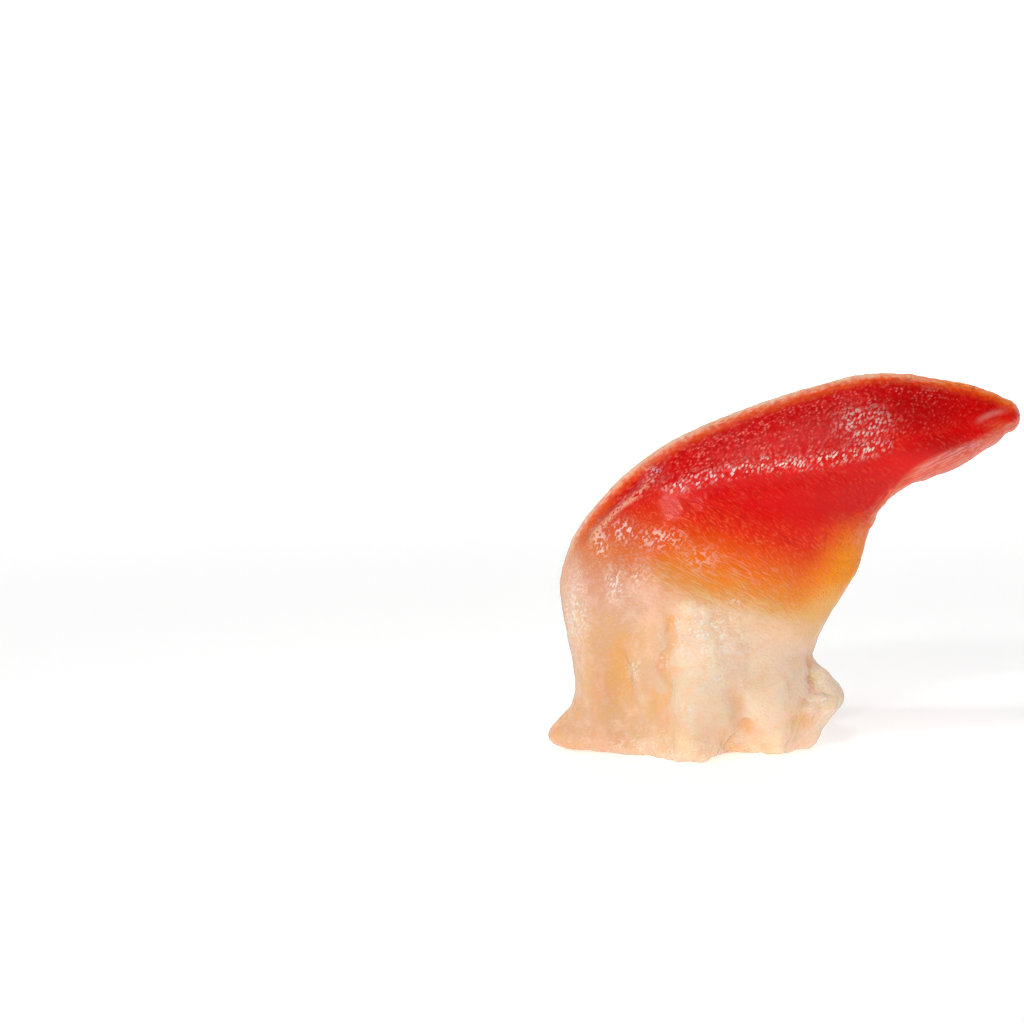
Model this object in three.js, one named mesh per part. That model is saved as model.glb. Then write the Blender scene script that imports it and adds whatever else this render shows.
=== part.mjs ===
// The foot of a surf clam, blanched and ready to eat: a flat, pointed tongue of firm flesh.
// It stands on its cut base. The heel bulges to the left, and the toe bends over to the right.
// Units are millimetres, with +Z up. The flat sides face -Y (front) and +Y (back), the toe points to +X,
// and the origin is under the middle of the foot, on the surface that it stands on.

import * as THREE from 'three';

// Driving dimensions

const HEIGHT = 58; // cut base to the top of the keel
const REACH = 70; // heel to the end of the toe
const BASE_DEPTH = 21; // front to back where the foot was cut from the clam
const BODY_DEPTH = 16.5; // front to back at the belly of the foot
const TOE_DEPTH = 6; // front to back just behind the end of the toe
const TOE_TURN = 16; // degrees that the toe's keel leans back
const TOE_NOSE = 1.8; // how far the rounded end of the toe runs on past its last section
const BASE_EDGE = 1.4; // rounding between the cut base and the sides

// How full a section is between its crest and its edge: a low power falls away early, and an edge of a
// half makes the end of it round, where more makes it thin.
const ROUND_SIDE = { power: 2.5, edge: 0.5 }; // both sides near the cut base
const KEEL_SIDE = { power: 1.6, edge: 0.7 };
const THROAT_SIDE = { power: 2.2, edge: 0.5 };
const WEDGE_STARTS = 0.06; // share of the way up the foot where its sides begin to differ
const WEDGE_IS_FULL = 0.45;

// Stations run from the cut base up the foot and over to the toe. Each joins a point of the keel, the
// thin outer edge, to a point of the throat, the blunt inner edge, both as shares of REACH and HEIGHT
// from the heel end of the base. crest is where the side is thickest, from -1 at the throat to 1 at
// the keel, and lean moves the section back.

const STATIONS = [
  { keel: [0.030, 0.000], throat: [0.570, 0.000],
    depth: BASE_DEPTH, turn: 0, crest: 0.00, lean: 0.0 },
  { keel: [0.038, 0.130], throat: [0.560, 0.110],
    depth: BASE_DEPTH * 0.92, turn: 0, crest: 0.00, lean: 0.0 },
  { keel: [0.022, 0.260], throat: [0.547, 0.240],
    depth: BODY_DEPTH * 1.02, turn: 1, crest: 0.04, lean: 0.2 },
  { keel: [0.000, 0.415], throat: [0.592, 0.365],
    depth: BODY_DEPTH, turn: 2, crest: 0.14, lean: 0.3 },
  { keel: [0.020, 0.540], throat: [0.645, 0.475],
    depth: BODY_DEPTH * 0.98, turn: 4, crest: 0.34, lean: 0.4 },
  { keel: [0.095, 0.670], throat: [0.666, 0.570],
    depth: BODY_DEPTH * 0.94, turn: 6, crest: 0.46, lean: 0.5 },
  { keel: [0.212, 0.790], throat: [0.691, 0.640],
    depth: BODY_DEPTH * 0.87, turn: 9, crest: 0.40, lean: 0.4 },
  { keel: [0.352, 0.874], throat: [0.731, 0.695],
    depth: BODY_DEPTH * 0.78, turn: 12, crest: 0.28, lean: 0.2 },
  { keel: [0.525, 0.948], throat: [0.785, 0.722],
    depth: BODY_DEPTH * 0.68, turn: 14, crest: 0.06, lean: 0.0 },
  { keel: [0.690, 0.994], throat: [0.845, 0.745],
    depth: BODY_DEPTH * 0.58, turn: TOE_TURN, crest: -0.20, lean: -0.2 },
  { keel: [0.850, 0.972], throat: [0.908, 0.790],
    depth: TOE_DEPTH * 1.2, turn: TOE_TURN, crest: -0.38, lean: -0.3 },
  { keel: [0.925, 0.949], throat: [0.944, 0.812],
    depth: TOE_DEPTH, turn: TOE_TURN, crest: -0.36, lean: -0.2 },
  { keel: [0.972, 0.923], throat: [0.966, 0.840],
    depth: TOE_DEPTH * 0.84, turn: TOE_TURN, crest: -0.20, lean: -0.1 },
];
const TOE_END = [1.0, 0.877]; // where the rounded end of the toe reaches furthest

// Folds left by the cut and by the blanching. Each presses a patch of the surface, like a thumb:
// at is its middle, reach its size along each axis, and by how far the middle moves.

const FOLD_FLAT = 0.1; // share of a patch that moves as far as its middle
const FOLDS = [
  { name: 'skirt spread at the heel', at: [-35, -1.5, 1.5], reach: [8.5, 9, 8], by: [-5, -1, 0] },
  { name: 'hollow behind the heel roll', at: [-24.5, -9, 9], reach: [6.5, 9, 16], by: [0, 2.6, 0.6] },
  { name: 'crease beside the middle lobe', at: [-18.6, -9, 12], reach: [3.2, 7, 14], by: [0, 1.5, 0] },
  { name: 'middle lobe', at: [-12.5, -10, 6], reach: [8.5, 10, 21], by: [0, -1.9, 0] },
  { name: 'foot of the middle lobe', at: [-15.6, -11, 0], reach: [6.5, 9, 10], by: [-0.6, -1.9, 0] },
  { name: 'arch beside the lobe', at: [-7.4, -12, 0], reach: [7.4, 9, 8.5], by: [0, 2.2, 3.8] },
  { name: 'throat lobe', at: [0, -9, 8], reach: [8, 9, 9], by: [0.4, -1.7, 0] },
  { name: 'throat knob', at: [6, -1, 8.5], reach: [8.5, 12, 7.2], by: [5, -0.6, 0.4] },
  { name: 'pit under the knob', at: [2.6, -9, 1.5], reach: [4.6, 7, 5], by: [-0.5, 2.2, 1.4] },
  { name: 'back lobe', at: [-10, 10, 5], reach: [10, 10, 19], by: [0, 1.8, 0] },
  { name: 'back hollow at the heel', at: [-23, 9, 10], reach: [6.5, 8, 15], by: [0, -2.2, 0.4] },
  { name: 'back valley', at: [-16.5, 11, 1], reach: [4, 7, 7], by: [0, -1.6, 1.2] },
  { name: 'back hollow at the throat', at: [0, 9, 12], reach: [5, 8, 11], by: [0, -1.6, 0] },
];

// Mesh of the solid

const AROUND = 72; // corners round each section
const BASE_RINGS = 5; // rings across the cut base
const NOSE_RINGS = 6; // rings round the end of the toe
const RINGS = 60;
const LAST_SECTION = RINGS - NOSE_RINGS;

const inPlane = ([along, up]) => new THREE.Vector3((along - 0.5) * REACH, 0, up * HEIGHT);

// A smooth curve through three values of every station.
function through(valuesOf) {
  return new THREE.CatmullRomCurve3(STATIONS.map(valuesOf), false, 'catmullrom', 0.5);
}

const keelRail = through(({ keel }) => inPlane(keel));
const throatRail = through(({ throat }) => inPlane(throat));
const build = through(({ depth, turn, crest }) => new THREE.Vector3(depth / 2, turn, crest));
const leanRail = through(({ lean }) => new THREE.Vector3(0, lean, 0));

// Half the depth of a section, from 0 at its edges to 1 at the crest. The flesh falls away in a thin
// wedge to the keel and in a full, blunt round to the throat. Near the base both sides are round.
function fullness(across, crest, wedge) {
  const toKeel = across > crest;
  const outwards = toKeel ? (across - crest) / (1 - crest) : (crest - across) / (1 + crest);
  const side = toKeel ? KEEL_SIDE : THROAT_SIDE;
  const power = THREE.MathUtils.lerp(ROUND_SIDE.power, side.power, wedge);
  const edge = THREE.MathUtils.lerp(ROUND_SIDE.edge, side.edge, wedge);
  return Math.pow(Math.max(0, 1 - Math.pow(outwards, power)), edge);
}

// A point of the skin. share goes from the base, 0, to the last section, 1. angle goes round the
// section from the keel over the back to the throat and home by the front. size shrinks the section.
function skin(share, angle, size) {
  const keel = keelRail.getPoint(share);
  const throat = throatRail.getPoint(share);
  const { x: halfDepth, y: turnDegrees, z: crest } = build.getPoint(share);
  const turn = THREE.MathUtils.degToRad(turnDegrees);
  const middle = keel.clone().add(throat).multiplyScalar(0.5);
  const toKeel = keel.clone().sub(middle);
  const halfWidth = toKeel.length() / Math.cos(turn);
  toKeel.normalize();

  const wedge = THREE.MathUtils.smoothstep(share, WEDGE_STARTS, WEDGE_IS_FULL);
  const across = Math.cos(angle);
  const back = Math.sign(Math.sin(angle));
  const inset = insetAt(middle.z);
  const alongWidth = across * (halfWidth - inset) * size;
  const alongDepth = back * fullness(across, crest, wedge) * (halfDepth - inset) * size;

  return middle
    .addScaledVector(toKeel, alongWidth * Math.cos(turn) - alongDepth * Math.sin(turn))
    .add(new THREE.Vector3(0, alongWidth * Math.sin(turn) + alongDepth * Math.cos(turn), 0))
    .add(leanRail.getPoint(share));
}

// How far the sides are drawn in by the rounding at the cut base.
function insetAt(height) {
  const left = Math.max(0, 1 - height / BASE_EDGE);
  return BASE_EDGE * (1 - Math.sqrt(1 - left * left));
}

// Presses every fold into a point.
function fold(point) {
  const pressed = point.clone();
  for (const { at, reach, by } of FOLDS) {
    const away = point.clone().sub(new THREE.Vector3(...at)).divide(new THREE.Vector3(...reach));
    const share = 1 - THREE.MathUtils.smootherstep(away.length(), FOLD_FLAT, 1);
    pressed.addScaledVector(new THREE.Vector3(...by), share);
  }
  pressed.z = Math.max(0, pressed.z);
  return pressed;
}

// The place of one corner of the ball that the foot is shaped from.
function place(ring, step) {
  const angle = (step / AROUND) * 2 * Math.PI;
  if (ring < BASE_RINGS) {
    return skin(0, angle, ring / BASE_RINGS);
  }
  if (ring <= LAST_SECTION) {
    return skin((ring - BASE_RINGS) / (LAST_SECTION - BASE_RINGS), angle, 1);
  }
  const bend = ((ring - LAST_SECTION) / NOSE_RINGS) * (Math.PI / 2);
  const point = skin(1, angle, Math.cos(bend));
  const nose = inPlane(TOE_END).sub(skin(1, 0, 0));
  return point.addScaledVector(nose.normalize(), TOE_NOSE * Math.sin(bend));
}

function footGeometry() {
  const ball = new THREE.SphereGeometry(1, AROUND, RINGS);
  const corners = ball.getAttribute('position');
  for (let ring = 0; ring <= RINGS; ring += 1) {
    for (let step = 0; step <= AROUND; step += 1) {
      const point = fold(place(ring, step));
      corners.setXYZ(ring * (AROUND + 1) + step, point.x, point.y, point.z);
    }
  }
  ball.computeVertexNormals();
  return ball;
}

function foot() {
  const flesh = new THREE.MeshStandardMaterial({ color: 0xe0522c, roughness: 0.35, metalness: 0 });
  const mesh = new THREE.Mesh(footGeometry(), flesh);
  mesh.name = 'surf_clam_foot';
  const box = new THREE.Box3().setFromObject(mesh);
  const middle = box.getCenter(new THREE.Vector3());
  mesh.position.set(-middle.x, -middle.y, -box.min.z);
  return mesh;
}

const part = new THREE.Group();
part.add(foot());

export default part;
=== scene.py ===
# %% [markdown]
# # A surf clam foot, ready to eat
#
# The foot of a surf clam is one tongue of muscle. Cooks blanch it, which turns the toe deep red and
# leaves the cut base cream. This lesson dresses a plain solid of it: the solid already has the right size
# and bend, and here it gets its folds, its skin, its colours and its light.

# %% Load the solid that everything is fitted to
import math

import bmesh
import bpy
import numpy as np
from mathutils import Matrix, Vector, kdtree, noise


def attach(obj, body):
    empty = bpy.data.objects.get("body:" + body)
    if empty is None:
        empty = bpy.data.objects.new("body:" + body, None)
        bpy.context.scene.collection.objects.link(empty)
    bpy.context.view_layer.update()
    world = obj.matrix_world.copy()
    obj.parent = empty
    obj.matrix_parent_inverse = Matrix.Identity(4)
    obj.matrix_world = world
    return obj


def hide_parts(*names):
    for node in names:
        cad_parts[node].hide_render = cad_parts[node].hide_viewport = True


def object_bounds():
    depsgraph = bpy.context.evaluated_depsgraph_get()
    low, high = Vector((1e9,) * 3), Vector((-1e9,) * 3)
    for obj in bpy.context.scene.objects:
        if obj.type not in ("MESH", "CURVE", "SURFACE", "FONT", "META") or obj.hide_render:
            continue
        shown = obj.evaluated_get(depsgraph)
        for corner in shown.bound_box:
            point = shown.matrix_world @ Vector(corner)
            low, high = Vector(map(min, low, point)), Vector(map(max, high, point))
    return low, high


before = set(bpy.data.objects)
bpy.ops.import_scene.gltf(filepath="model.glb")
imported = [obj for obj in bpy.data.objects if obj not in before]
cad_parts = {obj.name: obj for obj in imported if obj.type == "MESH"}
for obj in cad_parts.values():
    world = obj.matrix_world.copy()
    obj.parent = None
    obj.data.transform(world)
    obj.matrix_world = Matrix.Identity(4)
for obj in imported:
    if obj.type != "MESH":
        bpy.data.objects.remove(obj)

NODE = "surf_clam_foot"
MM = 0.001
cad_low, cad_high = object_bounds()
print("solid, in mm:", [round(side / MM, 1) for side in Vector(cad_high) - Vector(cad_low)])

# %% [markdown]
# ## The camera
#
# The photograph was taken from just above the table, and the foot stands right of its middle. A camera
# could be aimed at the foot and shifted, but a shift would follow it into every other view. So the camera
# looks straight at the point where the middle of the photograph lies, and the foot falls where it should.
# A long lens keeps the sides as parallel as they are in the photograph.

# %% Place the camera
PHOTO_WIDTH = 1024
PHOTO_MIDDLE = (512, 512)
ORIGIN_IN_PHOTO = (779.6, 749)
PHOTO_PIXEL = 0.153 * MM
ELEVATION = math.radians(8)
LENS = 135
SENSOR = 36


def make_camera():
    """Looks along +Y, a little downwards, so that one pixel is PHOTO_PIXEL wide at the foot."""
    data = bpy.data.cameras.new("photo_camera")
    data.lens = LENS
    data.sensor_width = SENSOR
    data.clip_start = 1 * MM
    camera = bpy.data.objects.new("photo_camera", data)
    bpy.context.scene.collection.objects.link(camera)
    forward = Vector((0, math.cos(ELEVATION), -math.sin(ELEVATION)))
    right = Vector((1, 0, 0))
    up = right.cross(forward)
    across = (PHOTO_MIDDLE[0] - ORIGIN_IN_PHOTO[0]) * PHOTO_PIXEL
    above = (ORIGIN_IN_PHOTO[1] - PHOTO_MIDDLE[1]) * PHOTO_PIXEL
    distance = PHOTO_WIDTH * PHOTO_PIXEL * LENS / SENSOR
    camera.location = right * across + up * above - forward * distance
    camera.rotation_euler = forward.to_track_quat("-Z", "Y").to_euler()
    bpy.context.scene.camera = camera
    print("camera stands", round(distance / MM), "mm away")


make_camera()

# %% [markdown]
# ## Clay to sculpt in
#
# The solid is made of a few thousand triangles, too coarse for the folds of real flesh. It could be
# subdivided, but its long thin faces would stay long and thin, and a fold needs points on both its banks.
# A voxel remesh is better: it casts the same shape again in even squares, like fresh clay.
# The solid's own mesh is never changed, so a copy of it is welded first.

# %% Cast the solid again in small even faces
WELD = 0.001 * MM
GRAIN = 0.305 * MM
EASE_ROUNDS = 6


def modified(obj, kind, **settings):
    """Applies a modifier with these settings to the object's own mesh."""
    modifier = obj.modifiers.new(kind.lower(), kind)
    for name, value in settings.items():
        setattr(modifier, name, value)
    depsgraph = bpy.context.evaluated_depsgraph_get()
    result = bpy.data.meshes.new_from_object(obj.evaluated_get(depsgraph))
    obj.modifiers.clear()
    obj.data = result


def cast_clay():
    """A copy of the solid, rounded between its facets and remeshed."""
    bm = bmesh.new()
    bm.from_mesh(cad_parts[NODE].data)
    bmesh.ops.remove_doubles(bm, verts=bm.verts, dist=WELD)
    bmesh.ops.join_triangles(
        bm, faces=bm.faces, angle_face_threshold=math.pi, angle_shape_threshold=math.pi
    )
    mesh = bpy.data.meshes.new("clam_foot")
    bm.to_mesh(mesh)
    bm.free()
    clay = bpy.data.objects.new("clam_foot", mesh)
    bpy.context.scene.collection.objects.link(clay)
    modified(clay, "SUBSURF", levels=1, render_levels=1)
    modified(clay, "REMESH", mode="VOXEL", voxel_size=GRAIN, use_smooth_shade=True)
    modified(clay, "SMOOTH", factor=0.5, iterations=EASE_ROUNDS)
    return clay


foot = cast_clay()
print("clay has", len(foot.data.vertices), "points")

# %% [markdown]
# ## Brushes
#
# Sculpting by hand can't be written down, but its brushes can. Each one here is a stroke: a line over the
# front or the back of the foot, how wide it reaches, and how far it lifts the skin or sinks it.
# The points near the line move along their own normals, most in the middle and least at the rim,
# which is what the Draw brush does under a pen.

# %% Take the clay in hand
FRONT = -1
BACK = 1
FACING_STEEP = 2.5  # how fast a stroke dies out round the edge
FACING_LEAD = 0.6  # how far round the edge it reaches


class Clay:
    """The points of a mesh and their normals, in millimetres, as arrays."""

    def __init__(self, mesh):
        self.mesh = mesh
        self.refresh()

    def refresh(self):
        """Reads the points again, with the normals that they have now."""
        count = len(self.mesh.vertices)
        self.points = np.empty(count * 3, np.float32)
        self.mesh.vertices.foreach_get("co", self.points)
        self.points = self.points.reshape(-1, 3).astype(float) / MM
        self.normals = np.empty(count * 3, np.float32)
        self.mesh.vertex_normals.foreach_get("vector", self.normals)
        self.normals = self.normals.reshape(-1, 3).astype(float)

    def write(self):
        """Gives the moved points back to the mesh."""
        self.mesh.vertices.foreach_set("co", (self.points * MM).astype(np.float32).ravel())
        self.mesh.update()
        self.refresh()

    def facing(self, side):
        """1 on the points that face the front or the back, falling to 0 round the edge."""
        return np.clip(self.normals[:, 1] * side * FACING_STEEP + FACING_LEAD, 0, 1)

    def lift(self, amount):
        """Moves each point along its normal."""
        self.points += self.normals * np.asarray(amount)[:, None]
        self.write()


clay = Clay(foot.data)
print("in hand:", len(clay.points), "points")

# %% Measure from lines
CORNER_CUT = 0.25


def smooth_line(corners, rounds=3):
    """Cuts the corners of a line until it is a curve."""
    line = np.array(corners, float)
    for _ in range(rounds):
        near = line[:-1] * (1 - CORNER_CUT) + line[1:] * CORNER_CUT
        far = line[:-1] * CORNER_CUT + line[1:] * (1 - CORNER_CUT)
        inner = np.stack([near, far], axis=1).reshape(-1, 2)
        line = np.vstack([line[:1], inner, line[-1:]])
    return line


def nearest_on(line, points):
    """For each point: the step to the nearest place on a line, that place's share of the line's
    length, and the side of the line that the point is on, 1 for its left."""
    steps = np.diff(line, axis=0)
    lengths = np.hypot(*steps.T)
    starts = np.concatenate([[0], np.cumsum(lengths)[:-1]])
    best = np.full(len(points), np.inf)
    towards = np.zeros_like(points)
    share = np.zeros(len(points))
    side = np.ones(len(points))
    for start, step, length, done in zip(line[:-1], steps, lengths, starts):
        away = points - start
        part = np.clip((away @ step) / length**2, 0, 1)
        back = part[:, None] * step - away
        gap = np.hypot(*back.T)
        nearer = gap < best
        best[nearer] = gap[nearer]
        towards[nearer] = back[nearer]
        share[nearer] = (done + part[nearer] * length) / lengths.sum()
        side[nearer] = np.sign(step[0] * away[nearer, 1] - step[1] * away[nearer, 0])
    return towards, share, side


def fade(share):
    """1 at 0, and a smooth fall to 0 at 1."""
    share = np.clip(share, 0, 1)
    return 1 - share * share * (3 - 2 * share)


print("a smooth fall:", [round(float(fade(share)), 2) for share in (0, 0.25, 0.5, 0.75, 1)])

# %% Make the brushes
TAPER = 0.2  # share of a stroke's length over which each of its ends dies out
NOISE_STEP = 17.3  # how far apart two seeds lie in the noise


def stroke(face, line, width, height, pinch=0.0):
    """A lifted ridge along a line over one face, or a groove if its height is below 0.
    Pinch draws the skin in towards the line, which sharpens it."""
    towards, share, _ = nearest_on(smooth_line(line), clay.points[:, [0, 2]])
    weight = fade(np.hypot(*towards.T) / width) * (1 - fade(np.minimum(share, 1 - share) / TAPER))
    weight *= clay.facing(face)
    clay.points[:, [0, 2]] += towards * (pinch * weight)[:, None]
    clay.lift(weight * height)


def ledge(face, line, width, height, edge):
    """Lifts the skin on the left of a line in a step, and lets it sink back over its width."""
    towards, share, side = nearest_on(smooth_line(line, rounds=2), clay.points[:, [0, 2]])
    gap = np.hypot(*towards.T) * side
    weight = (1 - fade((gap + edge) / (2 * edge))) * fade(gap / width)
    weight *= (1 - fade(np.minimum(share, 1 - share) / TAPER)) * clay.facing(face)
    clay.lift(weight * height)


def spot(middle, reach, face=None):
    """The share, 1 in its middle and 0 at its reach, of a soft oval in the X-Z plane."""
    weight = fade(np.hypot(*((clay.points[:, [0, 2]] - middle) / reach).T))
    return weight if face is None else weight * clay.facing(face)


def bumps(size, octaves, seed):
    """Smooth noise, about -1 to 1, with lumps of about this size in millimetres."""
    scaled = clay.points / size + seed * NOISE_STEP
    return np.array([noise.fractal(Vector(place), 1.0, 2.0, octaves) for place in scaled])


print("a spot at the belly reaches", int((spot((-12, 27), (9, 5)) > 0).sum()), "points")

# %% [markdown]
# ## Where the edges are
#
# The keel and the throat are the two thin edges of the foot, and the paint later follows them. They could
# be drawn as lines, but the solid knows them better: a point is on an edge if its normal points neither
# to the front nor to the back. They are found now, while no fold confuses the normals.

# %% Find the two thin edges
KEEL_FACES = Vector((-0.62, 0, 0.78))
EDGE_ON = 0.12  # the most that an edge normal leans to the front or the back
EDGE_TURN = 0.35  # the least that it agrees with the edge's direction


def edge_places(direction):
    """The (X, Z) places of the points that face this way and neither the front nor the back."""
    on_edge = (np.abs(clay.normals[:, 1]) < EDGE_ON) & (clay.normals @ np.array(direction) > EDGE_TURN)
    return clay.points[on_edge][:, [0, 2]]


keel_places = edge_places(KEEL_FACES)
throat_places = edge_places(-KEEL_FACES)
print(len(keel_places), "points along the keel,", len(throat_places), "along the throat")

# %% [markdown]
# ## Folds
#
# Where the foot was cut, its flesh lost its hold and crumpled: a roll down the heel, a hollow beside it,
# a deep crease, curdled lumps, and a knob under the throat. The solid has the large ones. The brushes cut
# them in and add the small ones. Large strokes come first and small ones last, as in any sculpture.
# All numbers are millimetres: places are (X, Z) seen from the front.

# %% Sculpt the front
FRONT_SINKS = [
    # what it is, its middle, its reach, how far it moves
    ("hollow beside the heel roll", (-25.6, 13.5), (4.0, 8.5), -0.9),
    ("hollow beside the fold", (-19.6, 9.0), (2.2, 4.8), -0.6),
    ("pit under the knob", (2.8, 5.6), (3.2, 2.6), -0.8),
    ("nick in the keel", (21.5, 57.8), (5.5, 2.0), -0.3),
]
CURDLED_BANK = [(-18.2, 2), (-18.6, 7.2), (-17.4, 11), (-19, 14.5), (-16.8, 17), (-17.4, 19.5),
                (-17.8, 22.5), (-18.6, 25)]
LIP = [(-18.6, 43.3), (-20.5, 41.1), (-21.7, 40.0), (-23.0, 38.8), (-24.7, 37.6), (-26.8, 35.3),
       (-28.7, 33.4), (-30.2, 30)]
EYELID = [(28.2, 50.2), (29.6, 51.2), (31.4, 51.9), (33.2, 52.2), (34.4, 51.8)]
FRONT_STROKES = [
    # what it is, its line, width, height, pinch
    ("heel roll", [(-31.4, 27.9), (-30.5, 22.7), (-29.7, 17.4), (-29.1, 12.9), (-29.3, 8), (-31.5, 3.5)],
     2.4, 0.6, 0.0),
    ("middle lobe", [(-15.1, 14), (-14.2, 9.5), (-14, 1)], 4.2, 0.7, 0.0),
    ("fold in the hollow", [(-23.6, 18.4), (-22.9, 16.2), (-22, 13.4), (-21.3, 10.5), (-20.6, 6.5)],
     1.9, 1.0, 0.1),
    ("valley", [(-8.8, 12), (-7.9, 10.1), (-6.5, 7.7), (-5, 4.2)], 2.4, -0.6, 0.0),
    ("throat lobe", [(-5.2, 7.4), (-2.4, 9.6), (1.3, 10.9)], 3.0, 0.6, 0.0),
    ("long crease", [(-18.8, 24.2), (-17.8, 22.1), (-16.8, 19.9), (-17.7, 18.8), (-16.8, 16.6),
                     (-18.8, 15.5), (-19.2, 14.1), (-17.8, 12.3), (-17.4, 10.9), (-18.2, 9.1),
                     (-18.9, 7.2), (-20.7, 4.2)], 1.6, -0.5, 0.1),
    ("crease round the knob", [(3.6, 15.6), (4.9, 13.6), (4.5, 11.9), (5, 10.3), (3.6, 8.8), (2.2, 7.1)],
     1.3, -0.55, 0.1),
    ("line over the throat lobe", [(-5.4, 8.3), (-3.6, 9.6), (-1.3, 11.1), (1.1, 12.2), (3.2, 13.2)],
     0.8, 0.35, 0.2),
    ("knob's own fold", [(4.5, 9.6), (6.4, 9.8), (7.9, 8.7)], 0.8, -0.4, 0.2),
    ("shoulder", [(-26.7, 32), (-24.3, 35.8), (-21.6, 38.5), (-18.6, 40.1), (-15.8, 41.2),
                  (-10.7, 42.8), (-4.3, 43.9), (1.7, 44.3), (5, 45), (9.8, 46.2), (14.2, 47.2),
                  (18, 48.2)], 2.4, 0.5, 0.0),
    ("lip inside the keel", LIP, 0.9, 0.45, 0.1),
    ("groove behind the lip", [(-20.6, 42.9), (-24.1, 39.2), (-26.2, 37.3), (-28.6, 34.9), (-30.4, 31)],
     0.8, -0.35, 0.1),
    ("edge of the throat's strip", [(12.2, 36.7), (14.5, 38.8), (19.3, 42), (23.4, 44.3), (28.7, 47),
                                    (32, 49)], 1.0, 0.35, 0.15),
    ("ridge along the strip", [(15.6, 37.4), (18.4, 39.6), (22, 42.4), (26.5, 45), (31, 47.8)],
     0.6, 0.2, 0.1),
    ("eyelid of the toe", EYELID, 0.9, 0.28, 0.1),
    ("crease under the eyelid", [(28, 48.9), (29.6, 49.9), (31.4, 50.3), (33, 49.9)], 0.6, -0.15, 0.1),
    ("first wrinkle", [(11.8, 34.6), (13.4, 37), (16, 38.9)], 0.6, 0.22, 0.1),
    ("second wrinkle", [(12.6, 33.8), (14.6, 36.1), (17.2, 37.9)], 0.5, 0.2, 0.1),
    ("third wrinkle", [(10.6, 35.4), (12.4, 38), (14.6, 40)], 0.6, 0.2, 0.1),
]
FRONT_CURDS = [
    # middle, reach, height
    ((-14.7, 23.4), (2.5, 2.1), 0.8),
    ((-15.4, 20.2), (1.9, 1.8), 0.7),
    ((-15.9, 15.8), (2.3, 2.4), 0.7),
    ((-11.6, 22.2), (2.2, 1.8), 0.45),
    ((-11.2, 16.2), (2.6, 2.0), 0.45),
    ((-6.4, 16.6), (2.2, 1.2), 0.4),
    ((-6.8, 12.8), (1.4, 1.6), 0.35),
    ((1.7, 15.8), (1.8, 0.9), 0.4),
    ((7.4, 12.0), (2.2, 2.0), 0.4),
    ((7.4, 7.2), (2.0, 1.8), 0.4),
]


def sculpt(face, sinks, strokes, curds):
    """Sinks the hollows of one face first, then draws its strokes, then sets its curds on top."""
    for _, middle, reach, height in sinks:
        clay.lift(height * spot(middle, reach, face))
    for _, line, width, height, pinch in strokes:
        stroke(face, line, width, height, pinch)
    for middle, reach, height in curds:
        clay.lift(height * spot(middle, reach, face))


ledge(FRONT, CURDLED_BANK, width=5.0, height=0.7, edge=0.9)
sculpt(FRONT, FRONT_SINKS, FRONT_STROKES, FRONT_CURDS)
print("front folded, nearest point at y", round(clay.points[:, 1].min(), 2), "mm")

# %% [markdown]
# ## The back
#
# Nobody sees the back in a photograph of the front, but a part is looked at from all sides. It gets the
# same kinds of folds as the front, in other places, because no two sides of a cut are alike.

# %% Sculpt the back
BACK_SINKS = [
    # what it is, its middle, its reach, how far it moves
    ("hollow at the heel", (-24, 12), (4.6, 8), -0.9),
    ("hollow at the throat", (-1, 14), (3.4, 6), -0.7),
    ("dent in the belly", (-12, 27), (9, 5), -0.4),
]
BACK_STROKES = [
    # what it is, its line, width, height, pinch
    ("heel roll", [(-30.6, 26), (-29.6, 19), (-28.8, 12), (-29.8, 4)], 2.6, 0.6, 0.0),
    ("long crease", [(-6, 24), (-7.4, 21.6), (-6.2, 18.4), (-7.6, 16), (-6.4, 12.6), (-7.4, 9),
                     (-5.6, 5), (-6.4, 2)], 1.7, -0.5, 0.1),
    ("short crease", [(-19.4, 15), (-18.2, 12.4), (-19.2, 9.6), (-17.8, 6.4), (-18.6, 2.6)],
     1.8, -0.45, 0.1),
    ("side fold", [(-13.6, 18), (-12.4, 13.6), (-12.8, 9), (-11.6, 3)], 2.6, 0.6, 0.0),
    ("crease round the knob", [(1.4, 15.2), (3, 13.4), (3.4, 11), (3, 8.4), (1.6, 6.4)], 1.4, -0.5, 0.1),
    ("shoulder", [(-27, 31), (-23, 35.4), (-17, 38.6), (-10, 40.6), (-2, 42), (6, 43.6), (13, 45.6),
                  (19, 47.6)], 2.6, 0.5, 0.0),
    ("lip inside the keel", [(-20, 41.4), (-24, 38.6), (-27, 35.6), (-29, 32)], 0.9, 0.22, 0.1),
    ("groove behind the lip", [(-20, 42.6), (-24.4, 39.8), (-27.6, 36.6), (-29.8, 33)], 0.7, -0.18, 0.1),
    ("edge of the throat's strip", [(12, 36.4), (15.4, 39.6), (20, 42.6), (25, 45.4), (31, 48.6)],
     1.0, 0.3, 0.15),
    ("ridge along the strip", [(15, 37.2), (18.4, 39.8), (22.4, 42.8), (27, 45.6)], 0.6, 0.2, 0.1),
    ("first wrinkle", [(11, 34.4), (13, 37), (15.6, 39)], 0.6, 0.2, 0.1),
    ("second wrinkle", [(12, 33.4), (14.2, 36), (16.8, 38)], 0.5, 0.2, 0.1),
]
BACK_CURDS = [
    # middle, reach, height
    ((-3.4, 20.6), (2.6, 2.2), 0.7),
    ((-4.2, 16.4), (2.0, 2.2), 0.6),
    ((-9.8, 17.4), (2.2, 2.0), 0.5),
    ((-15.4, 11.6), (2.2, 2.6), 0.5),
    ((-3.6, 9.8), (2.4, 2.0), 0.5),
    ((6.2, 11.6), (2.2, 2.2), 0.4),
]
sculpt(BACK, BACK_SINKS, BACK_STROKES, BACK_CURDS)
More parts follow.
